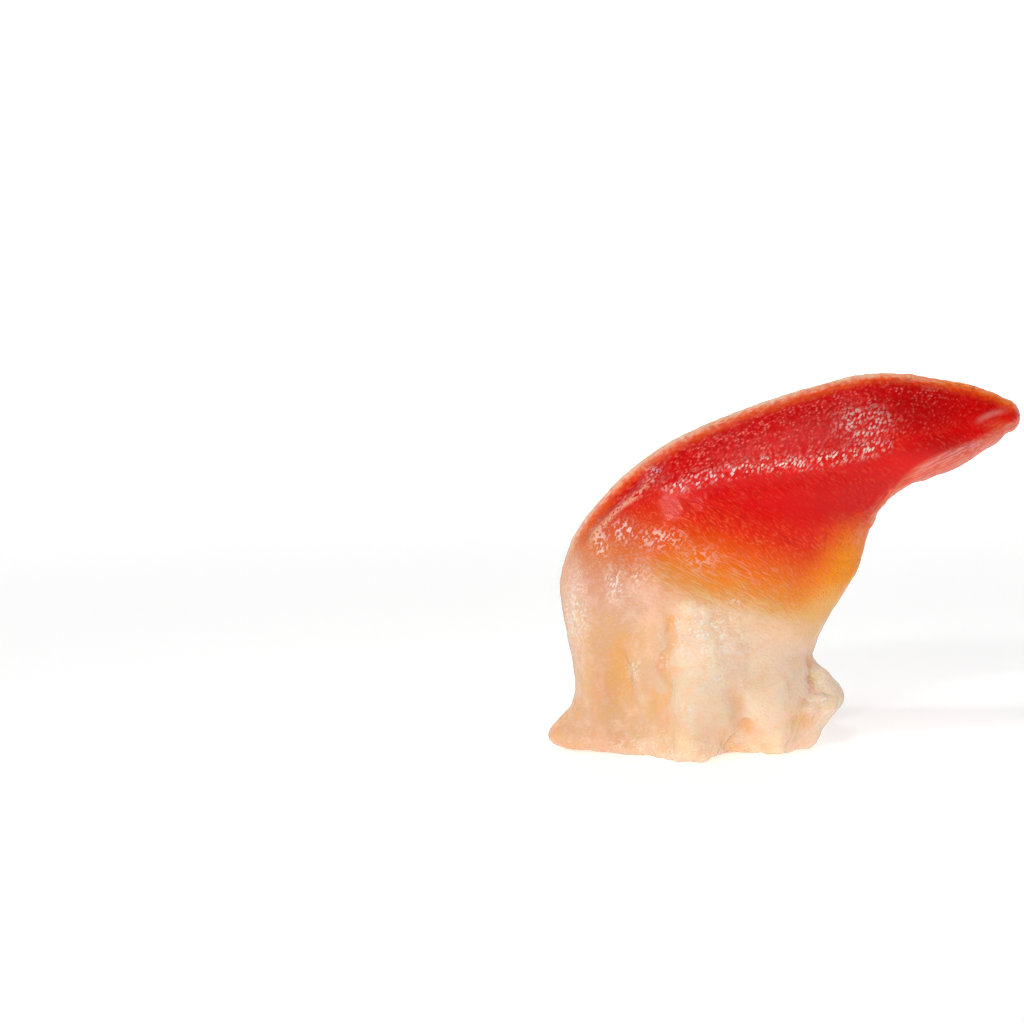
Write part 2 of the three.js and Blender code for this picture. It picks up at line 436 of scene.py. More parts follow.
print("back folded, furthest point at y", round(clay.points[:, 1].max(), 2), "mm")

# %% [markdown]
# ## The skin's own unevenness
#
# Flesh is never smooth. Curds stand out where it was cut, and the belly waves gently. Brushes would be slow
# for these, so smooth noise lifts the skin, each kind only where it belongs.

# %% Find the curdled, the sleek and the high places
CURDLED_PLACES = [
    # middle, reach, how curdled
    ((-11.5, 19), (8.5, 9.5), 1.0),
    ((6, 9), (5, 7), 1.0),
    ((-12, 1), (26, 6), 0.8),
]
SLEEK_PLACES = [
    # middle, reach, how sleek
    ((2.3, 38.6), (10, 5), 1.0),
    ((22, 44.5), (12, 3.5), 1.0),
    ((-0.5, 19.5), (6, 5), 0.8),
    ((-25.4, 13.5), (3.6, 7), 0.7),
]
TOE_STARTS = 40  # mm up
TOE_IS_FULL = 50


def places(rows):
    """The strongest of several soft ovals."""
    return np.max([strength * spot(middle, reach) for middle, reach, strength in rows], axis=0)


curd_share = sum(strength * spot(middle, reach) for middle, reach, strength in CURDLED_PLACES)
curd_share = np.clip(curd_share, 0, 1)
toe_share = np.clip((clay.points[:, 2] - TOE_STARTS) / (TOE_IS_FULL - TOE_STARTS), 0, 1)
calm = places(SLEEK_PLACES)
print("points in curds:", int((curd_share > 0).sum()), "and in sleek places:", int((calm > 0).sum()))

# %% Roughen the skin
SLEEK_SMOOTHS = 0.7
TOE_SMOOTHS = 0.4
LUMPS = [
    # what they are, their height and size in mm, their octaves, their share of each place, their seed
    ("curds", 0.62, 2.6, 3, curd_share * (1 - SLEEK_SMOOTHS * calm), 1),
    ("waves", 0.17, 5.5, 2, 1 - TOE_SMOOTHS * toe_share, 2),
    ("unevenness", 0.07, 1.2, 2, 1 - SLEEK_SMOOTHS * calm, 3),
]
for name, height, size, octaves, share, seed in LUMPS:
    clay.lift(height * share * bumps(size, octaves, seed))
    print(name, "up to", height, "mm")
clay.points = np.clip(clay.points, np.array(cad_low) / MM, np.array(cad_high) / MM)
clay.write()

# %% [markdown]
# ## Colours and skin
#
# Blanching colours the foot like a sunset: deep red over the toe, then orange, then cream. The colours
# could be painted by hand, but a few soft bands across the shape, broken up by noise, give the same.

# %% A small language for shader maths


class Flow:
    """A number or colour that runs through a material's nodes, so that sums are written as sums.
    One without a socket is the start of a material, and only adds nodes."""

    def __init__(self, tree, socket=None):
        self.tree = tree
        self.socket = socket

    def node(self, kind, settings=None, out=0, **sockets):
        """Adds any node. Its settings come first, then its sockets, by name or as _0 for the first."""
        made = self.tree.nodes.new(kind)
        for name, value in (settings or {}).items():
            if name == "stops":
                self.fill_ramp(made.color_ramp, value)
            else:
                setattr(made, name, value)
        for name, value in sockets.items():
            key = int(name[1:]) if name[0] == "_" else name.replace("_", " ")
            if isinstance(value, Flow):
                self.tree.links.new(value.socket, made.inputs[key])
            else:
                made.inputs[key].default_value = value
        return Flow(self.tree, made.outputs[out])

    @staticmethod
    def fill_ramp(ramp, stops):
        """Gives a ramp its places and colours."""
        while len(ramp.elements) < len(stops):
            ramp.elements.new(1)
        for element, (place, colour) in zip(ramp.elements, stops):
            element.position = place
            element.color = (*colour, 1)

    def sum(self, operation, *values):
        """One Math node."""
        return self.node(
            "ShaderNodeMath", {"operation": operation}, **{f"_{i}": v for i, v in enumerate(values)}
        )

    def __add__(self, other):
        return self.sum("ADD", self, other)

    __radd__ = __add__

    def __sub__(self, other):
        return self.sum("SUBTRACT", self, other)

    def __rsub__(self, other):
        return self.sum("SUBTRACT", other, self)

    def __mul__(self, other):
        return self.sum("MULTIPLY", self, other)

    __rmul__ = __mul__

    def __truediv__(self, other):
        return self.sum("DIVIDE", self, other)

    def soft(self, low, high):
        """0 below low, 1 above high, and smooth between. A low above high turns it round."""
        settings = {"interpolation_type": "SMOOTHSTEP"}
        if low <= high:
            return self.node("ShaderNodeMapRange", settings, _0=self, _1=low, _2=high)
        return 1 - self.node("ShaderNodeMapRange", settings, _0=self, _1=high, _2=low)

    def between(self, low, high):
        """A flow that runs from 0 to 1, made to run from low to high."""
        return self * (high - low) + low

    def mix(self, first, second):
        """Two colours, with this as the share of the second."""
        settings = {"data_type": "RGBA"}
        return self.node("ShaderNodeMix", settings, out=2, _0=self, _6=first, _7=second)

    def into(self, shader, name):
        """Links this to a socket of a shader."""
        self.tree.links.new(self.socket, shader.inputs[name])


def hue(red, green, blue):
    """A colour as it looks on screen, 0 to 255, for a colour socket. The numbers are the sRGB curve's."""
    linear = [
        c / 12.92 if c <= 0.04045 else ((c + 0.055) / 1.055) ** 2.4
        for c in (red / 255, green / 255, blue / 255)
    ]
    return (*linear, 1)


print("middle grey on screen is", round(hue(128, 128, 128)[0], 3), "in a socket")

# %% [markdown]
# ## Notes for the painter, written on the skin
#
# A shader knows where a point is, but not how far it is from the keel, or whether it lies in a fold.
# The script measures those once and stores them on the points as attributes, which the material reads.
# Lines and places are again (X, Z) in millimetres, seen from the front.

# %% Name the lines and places that paint follows
SHOULDER = [(-40, 14), (-31, 29), (-26.7, 32.6), (-24.3, 36.2), (-21.6, 38.9), (-18.6, 40.5),
            (-10.7, 43.2), (-4.3, 44.3), (1.7, 44.7), (5, 45.4), (9.8, 46.6), (14.2, 47.8), (18, 48.9),
            (26.4, 50.7), (34, 51.6)]
DEEP_PLACES = [
    # middle, reach, how deep the red is
    ((19.5, 52.5), (11, 6), 1.0),
    ((8, 50), (12, 6), 0.5),
    ((23.5, 47.2), (8, 3.4), 1.0),
    ((8.0, 39.0), (13, 6.5), 0.4),
]
HOLLOW_SHADE_PLACES = [
    # middle, reach, how much painted shade lies there
    ((-25.0, 13.6), (6.0, 10.0), 0.62),
    ((-19.6, 8.6), (2.2, 4.6), 0.9),
    ((3.0, 5.6), (3.6, 3.0), 1.5),
    ((4.5, 11.2), (1.0, 1.8), 0.8),
    ((-7.2, 8.6), (1.4, 3.4), 0.7),
    ((4.4, 17.2), (1.4, 3.6), 0.5),
    ((-18.2, 21.5), (1.8, 3.2), 0.7),
    ((-20.4, 19.0), (3.2, 6.0), 0.6),
    ((-11.0, 23.8), (3.0, 1.2), 0.4),
    ((-14.2, 18.0), (1.4, 2.0), 0.4),
]
MILKY_SHEEN_PLACES = [
    # middle, reach, how much painted pale sheen lies there
    ((-31.4, 23.0), (2.6, 11.0), 0.7),
    ((-13.7, 23.1), (2.6, 2.2), 0.8),
    ((-15.8, 15.2), (2.0, 1.8), 0.7),
    ((-10.6, 13.6), (2.6, 2.4), 0.5),
    ((2.2, 15.7), (2.0, 1.0), 0.5),
    ((-0.8, 10.0), (3.0, 2.2), 0.5),
    ((-21.5, 25.5), (4.0, 3.0), 0.5),
    ((7.2, 10.4), (3.2, 3.4), 0.3),
]
STRIP_TOP = [(13.6, 36.0), (16.0, 40.0), (18.7, 43.3), (21.5, 45.2), (25.0, 46.7), (29.3, 48.2),
             (33.0, 50.0)]
SHEEN_LINE = [(19.2, 42.6), (21.5, 44.4), (25.0, 46.0), (29.3, 47.6), (32.0, 49.0)]
PLEATS = [(10.4, 31.4), (12.8, 34.8), (15.0, 38.0), (18.0, 41.2)]
SPARKLE_LINE = [(-19.5, 40.1), (-15.9, 41.3), (-10.2, 43.0), (-3.6, 44.7), (1.6, 44.6), (8.2, 45.8),
                (14.3, 47.3), (17.0, 48.0)]
SPARKLE_PLACES = [
    # middle, reach, how much it glints
    ((12.0, 50.4), (6.6, 4.2), 0.8),
    ((-25.6, 26.5), (2.2, 4.6), 0.9),
    ((-22.2, 27.8), (1.4, 3.4), 0.8),
    ((-20.0, 42.6), (2.6, 1.8), 0.8),
    ((-31.2, 21.5), (2.8, 10.0), 0.9),
    ((-22.6, 13.2), (1.6, 3.6), 0.7),
    ((-7.7, 23.8), (2.0, 1.0), 0.9),
    ((-5.8, 16.2), (1.6, 1.0), 0.9),
    ((-6.2, 11.6), (1.2, 1.6), 0.8),
    ((6.6, 9.0), (1.8, 0.8), 0.8),
    ((-12.0, 20.0), (6.0, 6.0), 0.5),
    ((-11.8, 17.4), (1.6, 1.4), 0.8),
    ((-18.0, 15.0), (1.2, 3.0), 0.8),
    ((-9.6, 12.4), (2.0, 1.2), 0.7),
    ((-15.0, 8.2), (2.4, 3.6), 0.5),
]
SQUIGGLE_PLACES = [
    # middle, reach, how full of worm-shaped glints
    ((-24.0, 34.2), (3.4, 2.6), 1.0),
    ((-18.6, 33.4), (5.4, 2.6), 0.9),
    ((-27.6, 32.0), (2.0, 4.0), 1.0),
    ((-12.6, 30.4), (4.0, 3.0), 0.5),
    ((-22.0, 28.0), (4.0, 3.4), 0.4),
]
TOE_GLOW = ((32.4, 50.0), (3.6, 1.6))
print("shoulder of", len(SHOULDER), "corners, glints in", len(SPARKLE_PLACES), "places")

# %% Make the measuring tools


def note(name, values):
    """Stores one number for every point, for the material to read."""
    attribute = foot.data.attributes.new(name, "FLOAT", "POINT")
    attribute.data.foreach_set("value", np.asarray(values, np.float32))


def gap_to(edge):
    """How far each point is, seen from the front, from an edge."""
    tree = kdtree.KDTree(len(edge))
    for index, (x, z) in enumerate(edge):
        tree.insert((x, 0, z), index)
    tree.balance()
    return np.array([tree.find((x, 0, z))[2] for x, z in clay.points[:, [0, 2]]])


def eased(values, rounds):
    """Values, or places, averaged again and again with those of the neighbouring points."""
    mesh = foot.data
    ends = np.empty(len(mesh.edges) * 2, np.int32)
    mesh.edges.foreach_get("vertices", ends)
    first, second = ends.reshape(-1, 2).T
    count = len(mesh.vertices)
    friends = np.bincount(first, minlength=count) + np.bincount(second, minlength=count)
    result = np.array(values, float).reshape(count, -1)
    for _ in range(rounds):
        columns = [
            np.bincount(first, column[second], count) + np.bincount(second, column[first], count)
            for column in result.T
        ]
        result = np.stack(columns, axis=1) / friends[:, None]
    return result.reshape(np.shape(values))


def along(line, width, taper=0.1):
    """1 on a line, falling to 0 at this distance from it and at both its ends."""
    towards, share, _ = nearest_on(smooth_line(line), clay.points[:, [0, 2]])
    return fade(np.hypot(*towards.T) / width) * (1 - fade(np.minimum(share, 1 - share) / taper))


def beneath(line, blur):
    """1 under a line that runs to the right, and 0 over it."""
    towards, share, side = nearest_on(smooth_line(line), clay.points[:, [0, 2]])
    return fade((np.hypot(*towards.T) * side + blur) / (2 * blur)) * (share > 0)


print("tools ready: the keel is at most", round(float(gap_to(keel_places).max()), 1), "mm away")

# %% Measure the skin
RELIEF_ROUNDS = 40  # how smooth the skin is made that the relief is measured from
notes = {
    "keel_gap": gap_to(keel_places),
    "throat_gap": gap_to(throat_places),
    "above": 1 - beneath(SHOULDER, blur=1.4),
    "relief": ((clay.points - eased(clay.points, RELIEF_ROUNDS)) * clay.normals).sum(axis=1),
    "sleek": places(SLEEK_PLACES),
    "amber": places(HOLLOW_SHADE_PLACES),
    "deep": places(DEEP_PLACES),
    "sparkle": np.maximum(places(SPARKLE_PLACES), along(SPARKLE_LINE, width=1.7)),
    "curdled": curd_share,
    "milky": places(MILKY_SHEEN_PLACES),
    "strip": beneath(STRIP_TOP, blur=0.5),
    "sheen": along(SHEEN_LINE, width=0.9, taper=0.4),
    "pleats": along(PLEATS, width=2.0),
    "lip": along(LIP, width=0.6, taper=0.3),
    "squiggle": places(SQUIGGLE_PLACES),
    "toe_glow": spot(*TOE_GLOW),
    "eyelid": along(EYELID, width=0.7, taper=0.4),
}
for name, values in notes.items():
    note(name, values)
    print(f"{name:10} from {values.min():6.2f} to {values.max():6.2f}")

# %% Mix the paints
BAND = [
    # how far up the foot, in mm, and the colour there
    (-1.0, hue(240, 202, 158)),
    (5.0, hue(250, 218, 190)),
    (13.0, hue(252, 222, 197)),
    (17.0, hue(250, 214, 187)),
    (20.0, hue(240, 204, 164)),
    (22.5, hue(232, 170, 98)),
    (25.0, hue(232, 140, 44)),
    (27.5, hue(232, 108, 12)),
    (30.5, hue(230, 76, 4)),
    (33.0, hue(228, 44, 4)),
    (37.5, hue(222, 4, 4)),
]
ROSY_BAND_AND_SHEEN = [
    (8.0, hue(226, 184, 146)),
    (12.0, hue(224, 178, 140)),
    (16.0, hue(220, 172, 142)),
    (20.0, hue(216, 158, 132)),
    (22.5, hue(216, 140, 94)),
    (25.0, hue(216, 114, 56)),
    (28.0, hue(212, 76, 32)),
    (31.0, hue(216, 40, 18)),
    (34.0, hue(218, 8, 8)),
]
DEEP_RED_AND_GAP_SHADE = hue(190, 0, 4)
SALMON_AND_SHEEN = hue(255, 140, 124)
DAB_PEACH = hue(250, 140, 96)
THREAD_ORANGE = hue(232, 112, 40)
WORM_GLINT_PINK = hue(255, 226, 212)
TOE_GLOW_PEACH = hue(232, 110, 70)
GOLDEN_GLOW = hue(252, 160, 4)
LEMON_GLOW = hue(252, 194, 112)
AMBER_AND_SHADE = hue(240, 184, 112)
CREASE_SHADE_ORANGE = hue(240, 174, 88)
RIM_GLOW_ORANGE = hue(255, 108, 20)
RIM_GLOW_YELLOW = hue(255, 160, 50)
RIM_CREAM_AND_LIGHT = hue(250, 214, 176)
STRIP_PINK_AND_SHEEN = hue(236, 142, 114)
SHEEN_LILAC = hue(228, 176, 186)
PLEAT = hue(244, 168, 124)
CURD_PALE_AND_LIGHT = hue(255, 226, 206)
MILKY_SHEEN = hue(252, 222, 202)
GLINT_FLECK = hue(255, 246, 236)
print(len(BAND) + len(ROSY_BAND_AND_SHEEN), "paints in the bands")

# %% [markdown]
# ## One material in thin coats
#
# The foot could have a material for each colour, but its colours run into each other. One material does
# better: bands up the foot first, then coat after coat, each a colour and a mask that says how thickly it
# lies at every point. A mask is made of where a point is, of the notes, and of a pattern that breaks it up.
# Noise swings round a half, so soft(0.45, 0.55) cuts it into sharp patches, and soft(0.3, 0.7) into soft
# ones. The numbers further from a half leave fewer of them.

# %% Open the material and read the notes
flesh = bpy.data.materials.new("clam_flesh")
flesh.use_nodes = True
shader = flesh.node_tree.nodes["Principled BSDF"]
flow = Flow(flesh.node_tree)


def noted(name):
    """A number that was stored on the points."""
    return flow.node("ShaderNodeAttribute", {"attribute_name": name}, out=2)


keel = noted("keel_gap")
throat = noted("throat_gap")
above = noted("above")
relief = noted("relief")
sleek = noted("sleek")
amber = noted("amber")
deep = noted("deep")
sparkle = noted("sparkle")
curdled = noted("curdled")
milky = noted("milky")
strip = noted("strip")
sheen = noted("sheen")
pleats = noted("pleats")
lip = noted("lip")
squiggle = noted("squiggle")
toe_glow = noted("toe_glow")
eyelid = noted("eyelid")
print("the material reads", len(notes), "notes")

# %% Weave the patterns
PATTERNS = {
    # what it gives: size in mm, how finely it breaks up, turn in degrees, how drawn out it is
    "clouds": (7.0, 3.0, 0, 1),
    "mottle": (1.9, 3.0, 0, 1),
    "fibres": (0.45, 3.0, -30, 8),
    "threads": (0.22, 2.0, -28, 12),
    "patches": (1.1, 2.0, 0, 1),
    "grain": (0.29, 1.5, -42, 2.8),
    "clusters": (1.3, 1.0, 0, 1),
    "worms": (0.48, 1.5, 50, 1.6),
    "ripples": (0.33, 1.5, 18, 1.7),
    "rafts": (1.5, 2.0, 0, 1),
    "lines": (0.24, 2.0, 28, 14),
    "folds": (0.30, 2.0, 57, 6),
    "ragged edge": (0.8, 2.0, 0, 1),
    "waves": (1.4, 2.0, 0, 1),
    "curds": (0.85, 0.6, 0, 1),
    "wet film": (2.2, 2.0, 0, 1),
}
CELL_FALL = 1.6  # how steeply a cell's top falls away

object_place = flow.node("ShaderNodeTexCoord", out=3)
in_mm = flow.node("ShaderNodeVectorMath", {"operation": "SCALE"}, Vector=object_place, Scale=1 / MM)
x = flow.node("ShaderNodeSeparateXYZ", Vector=in_mm)
z = flow.node("ShaderNodeSeparateXYZ", out=2, Vector=in_mm)


def turned(size, turn, stretch):
    """Places in grains of this size in mm, drawn out along a direction in the X-Z plane."""
    return flow.node(
        "ShaderNodeMapping",
        {"vector_type": "TEXTURE"},
        Vector=in_mm,
        Rotation=(0, -math.radians(turn), 0),
        Scale=(size * stretch, size, size),
    )


def cloudy(name):
    """Soft noise, about 0 to 1, of one of the patterns."""
    size, detail, turn, stretch = PATTERNS[name]
    vector = turned(size, turn, stretch)
    return flow.node("ShaderNodeTexNoise", Vector=vector, Scale=1.0, Detail=detail)


def cells(size, turn, stretch):
    """Round tops, 1 in the middle of each and about 0 between them, and a number by chance for each."""
    vector = turned(size, turn, stretch)
    gap = flow.node("ShaderNodeTexVoronoi", Vector=vector, Scale=1.0)
    chance = flow.node("ShaderNodeTexVoronoi", out=1, Vector=vector, Scale=1.0)
    return 1 - gap * gap * CELL_FALL, chance


pattern = {name: cloudy(name) for name in PATTERNS}
print("woven:", ", ".join(pattern))

# %% [markdown]
# ### Bands
#
# The pigment lies in the skin of the toe and thins out towards the cut. A plain gradient could give that,
# but the real edge leans, wanders like a cloud and frays along the fibres. So a ramp of colours reads the
# The heel side has a rosier ramp, partly a painted sheen, and over the throat a yellow glow is painted for
# the light that shines through the thin flesh.

# %% Lay the bands
BAND_SLOPE = 0.245
SLOPE_ENDS = 2.0  # X, in mm, where the bands stop leaning
NOISE_MIDDLE = 0.5
CLOUD_WANDER = 3.6  # mm
FIBRE_WANDER = 1.6  # mm
RED_RISE = (29.0, 34.0)  # mm up the bands, from bare to full
PALE_FALL = (24.0, 17.0)
HEEL_SIDE = (-13, -25)  # X, in mm
GOLDEN_THROAT = (9.0, 1.5)  # mm from the throat
GOLDEN_LOW = (17.0, 24.0)
GOLDEN_HIGH = (39.0, 29.5)
GOLDEN_SIDE = (-2, 6)  # X, in mm
LEMON_TO_GOLD = (22.5, 28.0)
SLEEK_CALMS = 0.85  # how much streaks and roughness a sleek place loses


class Coats:
    """Colours laid over each other. A mask is 0 where its coat is bare, and 1 where it covers."""

    def __init__(self, ground):
        self.colour = ground

    def lay(self, mask, colour, thick=1.0):
        """Puts one more coat on."""
        self.colour = (mask * thick).mix(self.colour, colour)


def ramp(where, stops):
    """A colour for each height up the foot."""
    low, high = stops[0][0], stops[-1][0]
    share = (where - low) / (high - low)
    marks = [((height - low) / (high - low), colour[:3]) for height, colour in stops]
    return flow.node("ShaderNodeValToRGB", {"stops": marks}, Fac=share)


fibres = pattern["fibres"] - NOISE_MIDDLE
clouds = pattern["clouds"] - NOISE_MIDDLE
band = z + x.sum("MINIMUM", x, SLOPE_ENDS) * BAND_SLOPE + clouds * CLOUD_WANDER + fibres * FIBRE_WANDER
red = band.soft(*RED_RISE)
pale = band.soft(*PALE_FALL)
flank = (1 - above) * (1 - pale) * (1 - sleek * SLEEK_CALMS)
# The throat's painted glow: light shining through its thin flesh, laid on as yellow colour.
throat_glow = throat.soft(*GOLDEN_THROAT) * x.soft(*GOLDEN_SIDE)
throat_glow = throat_glow * band.soft(*GOLDEN_LOW) * band.soft(*GOLDEN_HIGH)

# The heel side's rosier ramp is partly the flesh's own tone and partly a painted sheen.
skin = Coats(x.soft(*HEEL_SIDE).mix(ramp(band, BAND), ramp(band, ROSY_BAND_AND_SHEEN)))
skin.lay(deep, DEEP_RED_AND_GAP_SHADE, thick=0.9)
skin.lay(throat_glow, band.soft(*LEMON_TO_GOLD).mix(LEMON_GLOW, GOLDEN_GLOW), thick=0.9)
print("bands laid")

# %% [markdown]
# ### Cut flesh
#
# Below the red the flesh is bare and cream. Its hollows and pits get a honey-coloured painted shade, and
# its creases an orange painted shade; the tops of the curds are painted paler as painted light, and some
# curds carry a painted milk-white sheen. The notes know these places. Painted evenly they would look
# printed, so mottling breaks each of them up. Threads of muscle cross from the cream into the red.

# %% Paint the cut flesh
THREAD_LOW = (16, 21)  # mm up the bands
THREAD_HIGH = (31, 27)
THREAD_SIDE = (6, -6)  # X, in mm

mottle = pattern["mottle"]
skin.lay(mottle.soft(0.45, 0.75) * pale, CURD_PALE_AND_LIGHT, thick=0.4)
skin.lay(mottle.soft(0.52, 0.3) * pale, AMBER_AND_SHADE, thick=0.25)
# Painted shade in the hollows and pits, where light sinks into the flesh.
skin.lay(amber * mottle.between(0.25, 0.7), AMBER_AND_SHADE)
# Painted pale sheen on some curds, partly their own paler flesh.
skin.lay(milky * mottle.between(0.3, 0.7), MILKY_SHEEN)
# Painted shade: orange where the skin lies lower than its smoothed self, in the creases.
skin.lay(relief.soft(-0.03, -0.4) * pale * mottle.between(0.2, 0.9), CREASE_SHADE_ORANGE)
# Painted light: the tops of the curds, which stand above their smoothed self, are painted paler.
skin.lay(curdled * relief.soft(0.0, 0.2) * pale, CURD_PALE_AND_LIGHT, thick=0.7)

threads = pattern["threads"]
crossing = band.soft(*THREAD_LOW) * band.soft(*THREAD_HIGH) * (1 - throat_glow)
pale_share = x.soft(*THREAD_SIDE).between(0.06, 0.2)
skin.lay(threads.soft(0.54, 0.62) * crossing * pale_share, CURD_PALE_AND_LIGHT)
skin.lay(threads.soft(0.46, 0.38) * crossing, THREAD_ORANGE, thick=0.2)
print("cut flesh painted")

# %% [markdown]
# ### Papillae and grain
#
# The skin of the toe is rough with tiny papillae, and the flank under it is finely streaked. As geometry
# they would take millions of faces. A pattern of cells gives each papilla a round top, and chance leaves
# some of them dark, because the real ones aren't even dots. The tops are painted salmon, partly their own
# paler colour and partly a painted reflection of the lamps, and the gaps between them get painted shade.

# %% Paint the papillae and the grain
KEEL_BARE = (0.5, 2.2)  # mm from the keel
TOE_BARE = (29, 21)  # X, in mm
DAB_LOW = (22, 26)  # mm up the bands
DAB_HIGH = (36, 31)

papillae, papilla_chance = cells(0.38, turn=60, stretch=2.0)
patches = pattern["patches"].soft(0.36, 0.6)
tops = papillae.soft(0.55, 0.95) * papilla_chance.soft(0.1, 0.9) * patches.between(0.4, 1.0)
tops = tops * (1 - deep * 0.6) * keel.soft(*KEEL_BARE) * x.soft(*TOE_BARE).between(0.25, 1.0)
# Painted shade: the gaps between the papillae are laid darker.
skin.lay(papillae.soft(0.6, 0.2) * above * red, DEEP_RED_AND_GAP_SHADE, thick=0.5)
# The tops of the papillae: partly their own paler colour, partly a painted reflection of the lamps.
skin.lay(tops * above * red, SALMON_AND_SHEEN, thick=0.78)

grain = pattern["grain"]
dabs = grain.soft(0.55, 0.62)
skin.lay(dabs * flank * band.soft(*DAB_LOW) * band.soft(*DAB_HIGH).between(0.12, 0.28), DAB_PEACH)
skin.lay(grain.soft(0.47, 0.39) * flank * red, DEEP_RED_AND_GAP_SHADE, thick=0.4)
print("papillae and grain painted")

# %% [markdown]
# ### Wet glints
#
# The foot is wet, and every bump on it that faces a lamp gives a tiny glint. Lamps alone find too few of
# them on a mesh, so the brightest are painted as pale flecks too, in clusters, where the light would catch
# them. On the real foot they are short dashes on the shoulder, worms at the heel and ripples on the curds.

# %% Paint the glints
dashes, dash_chance = cells(0.30, turn=58, stretch=2.2)
clusters = pattern["clusters"].soft(0.38, 0.55)
glints = dashes.soft(0.35, 0.7) * dash_chance.soft(0.42, 0.6) * clusters.between(0.25, 1.0)
skin.lay(glints * sparkle * pale.between(0.85, 1.0), GLINT_FLECK)

worms = pattern["worms"].soft(0.52, 0.58)
skin.lay(pattern["worms"].soft(0.48, 0.4) * squiggle, THREAD_ORANGE, thick=0.15)
# Painted glints shaped like worms at the heel, with orange between them.
skin.lay(worms * squiggle, WORM_GLINT_PINK, thick=0.9)

ripples = pattern["ripples"]
flecks = ripples.soft(0.55, 0.60) * pattern["rafts"].soft(0.42, 0.54)
skin.lay(ripples.soft(0.5, 0.6) * pale * curdled.between(0.08, 0.2), CURD_PALE_AND_LIGHT)
skin.lay(ripples.soft(0.47, 0.38) * pale * curdled.between(0.06, 0.24), AMBER_AND_SHADE)
# Painted glints in clusters on the cut flesh.
skin.lay(flecks * pale * (0.05 + sparkle * 0.85 + curdled * 0.55), GLINT_FLECK)
print("glints painted")

# %% [markdown]
# ### Edges
#
# The keel is so thin that light passes through it, so its rim glows orange at the toe and cream at the
# heel.
# That glow is painted into the colour; the cream is partly the edge's own paler skin. The throat's strip is
# smooth and pink, partly its own colour and partly a painted reflection of the floor, with a painted lilac
# sheen. A painted highlight runs along the lip and the eyelid, and a painted glow sits at the tip of the
# toe.
# A rim could be a shell of its own, but it would show a seam. A mask on the distance from the keel, made
# ragged, has none.

# %% Paint the edges
RAG = 1.2  # how far the rim's border wanders, in mm
ORANGE_RIM = (1.9, 0.2)  # mm from the keel
YELLOW_RIM = (1.0, 0.1)
CREAM_RIM = (0.9, -0.2)
ORANGE_STARTS = (24, 30)  # mm up the bands
CREAM_STARTS = (17, 27)
YELLOW_SIDE = (10, 19)  # X, in mm
CREAM_SIDE = (22, 14)

lines = pattern["lines"]
streaks = lines.soft(0.42, 0.62)
folds = pattern["folds"]
# The strip: partly its own pink, partly a painted reflection of the bright floor.
skin.lay(strip * streaks.between(0.4, 0.9), STRIP_PINK_AND_SHEEN)
# Painted lilac sheen along the strip.
skin.lay(sheen * streaks.between(0.1, 0.65), SHEEN_LILAC)
skin.lay(pleats * folds.soft(0.5, 0.64).between(0.1, 0.6), PLEAT)
# Painted glow at the tip of the toe, where light shines through it.
skin.lay(toe_glow * streaks.between(0.3, 0.7), TOE_GLOW_PEACH)
# Painted highlight on the ridge of the eyelid.
skin.lay(eyelid, WORM_GLINT_PINK, thick=0.25)

ragged = keel + (pattern["ragged edge"] - NOISE_MIDDLE) * RAG
# Painted glow of light through the thin keel: orange, yellow at the toe, cream at the heel.
skin.lay(ragged.soft(*ORANGE_RIM) * band.soft(*ORANGE_STARTS), RIM_GLOW_ORANGE, thick=0.8)
skin.lay(ragged.soft(*YELLOW_RIM) * x.soft(*YELLOW_SIDE), RIM_GLOW_YELLOW, thick=0.5)
skin.lay(ragged.soft(*CREAM_RIM) * x.soft(*CREAM_SIDE) * band.soft(*CREAM_STARTS), RIM_CREAM_AND_LIGHT, thick=0.85)
# Painted highlight along the lip inside the keel.
skin.lay(lip * dashes.soft(0.2, 0.7), RIM_CREAM_AND_LIGHT, thick=0.6)
skin.colour.into(shader, "Base Color")
print("edges painted")

# %% [markdown]
# ### Fine relief and gloss
#
# What is too fine for the mesh is left to a Bump node, which tilts the light and leaves the surface alone.
# The wet film is nearly a mirror, and light sinks a few millimetres into cooked flesh and comes out
# redder. Subsurface scattering gives that, where a plain colour would look like painted plaster.

# %% Raise the fine relief
BUMP_DEPTH = 0.16 * MM

rough = 1 - sleek * SLEEK_CALMS
bare_side = (1 - above) * rough
FINE_RELIEF = [
    # what stands out, where, and how far as a share of BUMP_DEPTH
    (tops, above, 0.8),
    (papillae, above, 0.3),
    (dabs, flank, 0.4),
    (grain, flank, 0.5),
    (glints, sparkle * pale.between(0.6, 1.4), 1.0),
    (worms, squiggle, 0.6),
    (pattern["curds"], pale * rough * (0.2 + curdled * 0.7 + sparkle), 1.0),
    (pattern["waves"], pale.between(0.35, 0.55), 1.0),
    (fibres, bare_side, 0.5),
    (threads, bare_side, 0.3),
    (lines, strip, 0.9),
    (folds, pleats, 0.6),
    (ripples, pale * rough, 1.3),
]
height = sum(what * where * share for what, where, share in FINE_RELIEF)
bump = flow.node("ShaderNodeBump", Strength=1.0, Distance=BUMP_DEPTH, Height=height)
bump.into(shader, "Normal")
print(len(FINE_RELIEF), "kinds of relief")

# %% Wet the skin and let light into the flesh
FINISH = {
    # light travels the scale times the radius into the flesh, red furthest and blue least
    "IOR": 1.40,
    "Specular Tint": (1.0, 0.80, 0.72, 1),
    "Subsurface Weight": 0.8,
    "Subsurface Radius": (1.0, 0.36, 0.18),
    "Subsurface Scale": 4.5 * MM,
}
for name, value in FINISH.items():
    shader.inputs[name].default_value = value
film = pattern["wet film"].between(0.07, 0.13) - pale * 0.03
film.into(shader, "Roughness")

